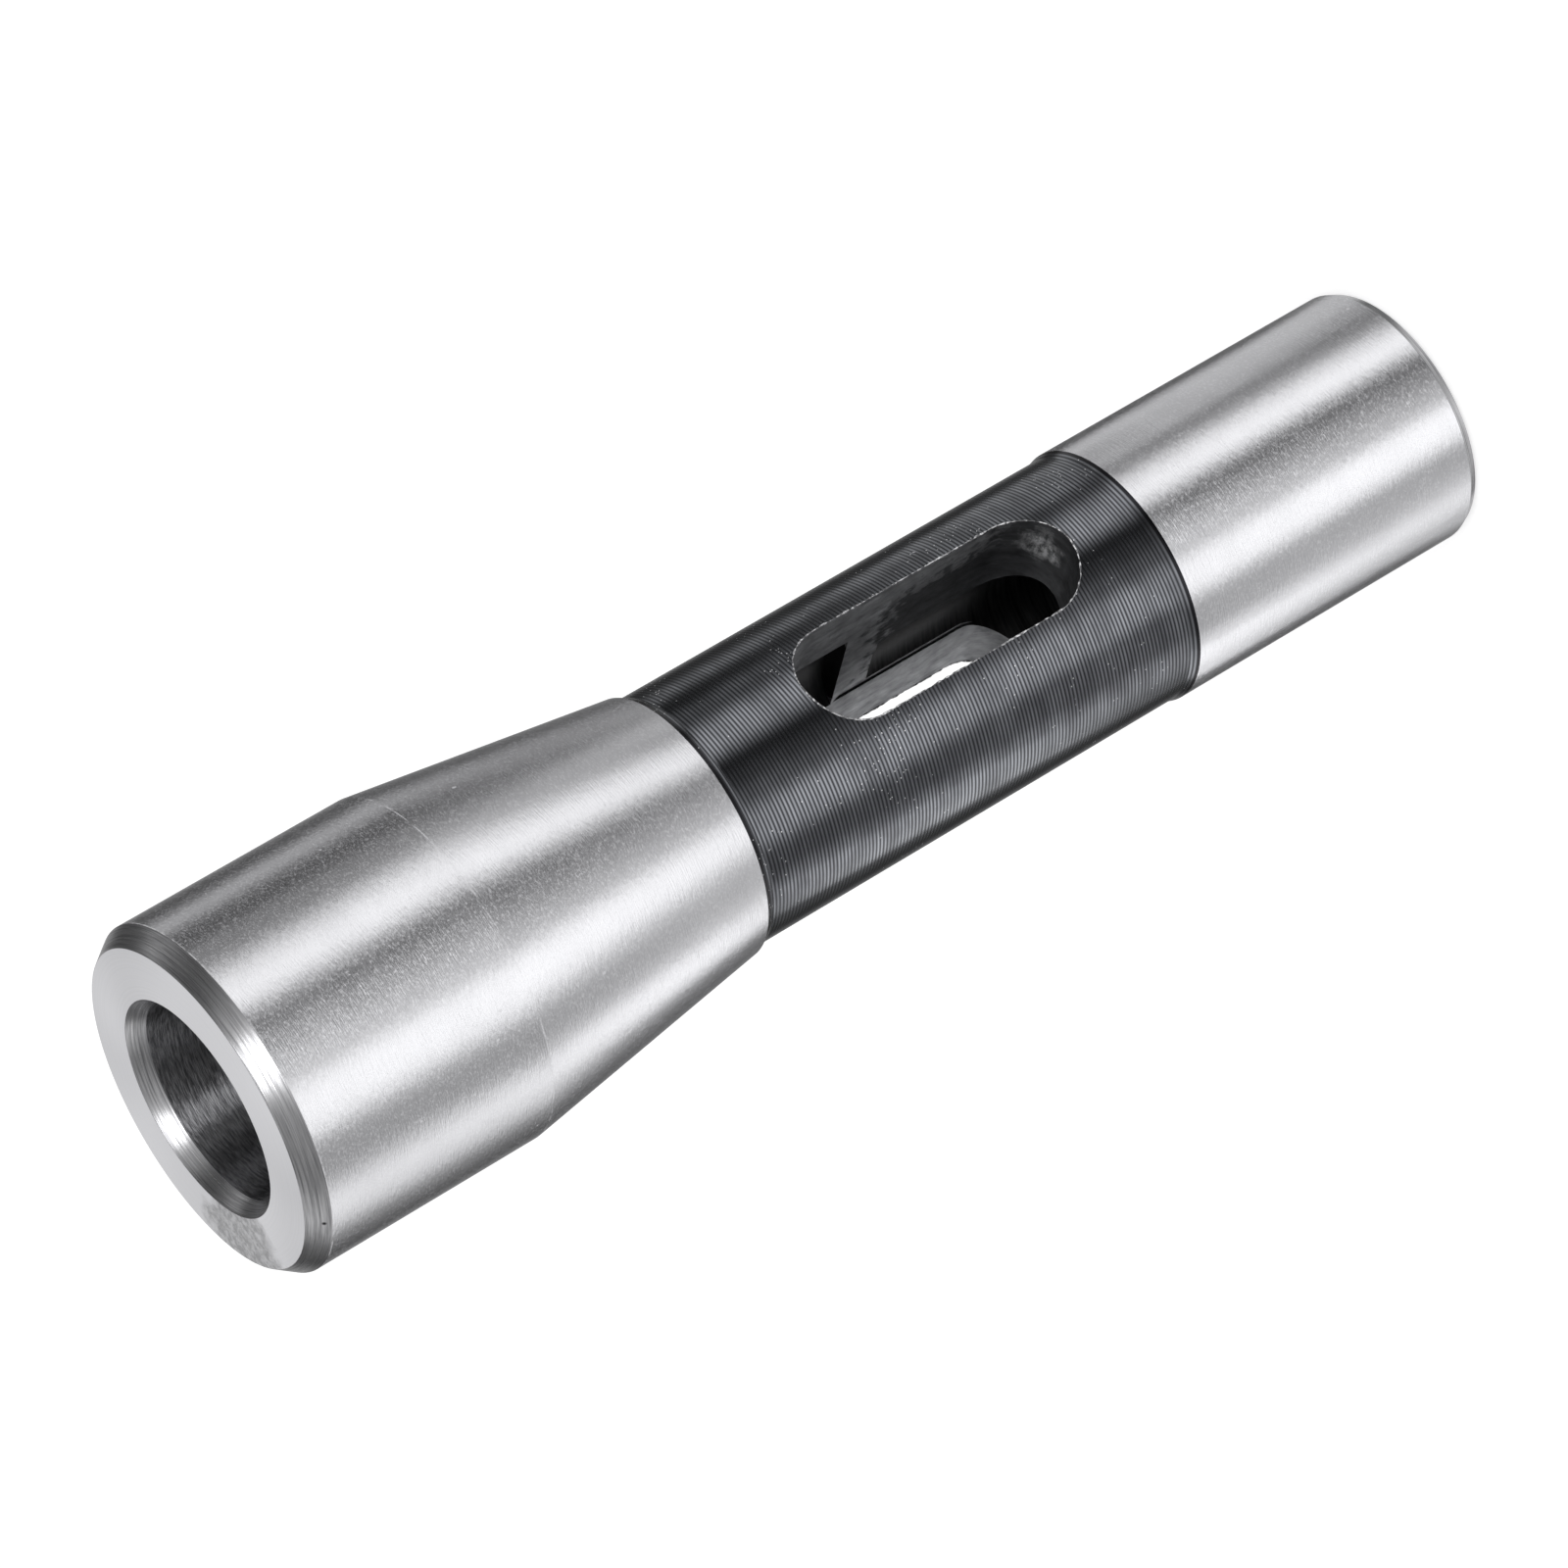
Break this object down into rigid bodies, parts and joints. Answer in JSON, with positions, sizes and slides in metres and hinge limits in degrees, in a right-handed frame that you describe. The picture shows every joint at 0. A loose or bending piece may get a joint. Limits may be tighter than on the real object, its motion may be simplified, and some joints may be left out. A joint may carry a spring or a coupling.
{
  "type": "morse taper adapter",
  "caption": "Milling spindle adapter: a ground cone and parallel shank outside, a Morse taper socket inside, a drift slot across the body and a drawbar thread in its tail.",
  "frame": {"origin": "centre of the drawbar end face, the lowest plane of the part", "axes": "+Z along the turned axis from the drawbar end to the nose face; Y runs through the drift slot, with the keyway in the +Y side; X crosses the slot"},
  "size_m": [0.032, 0.032, 0.1278],
  "materials": {
    "ground_steel": "ground ends with a black oxide waist"
  },
  "bodies": {
    "root": {"adapter_body": "ground_steel"}
  },
  "joints": []
}
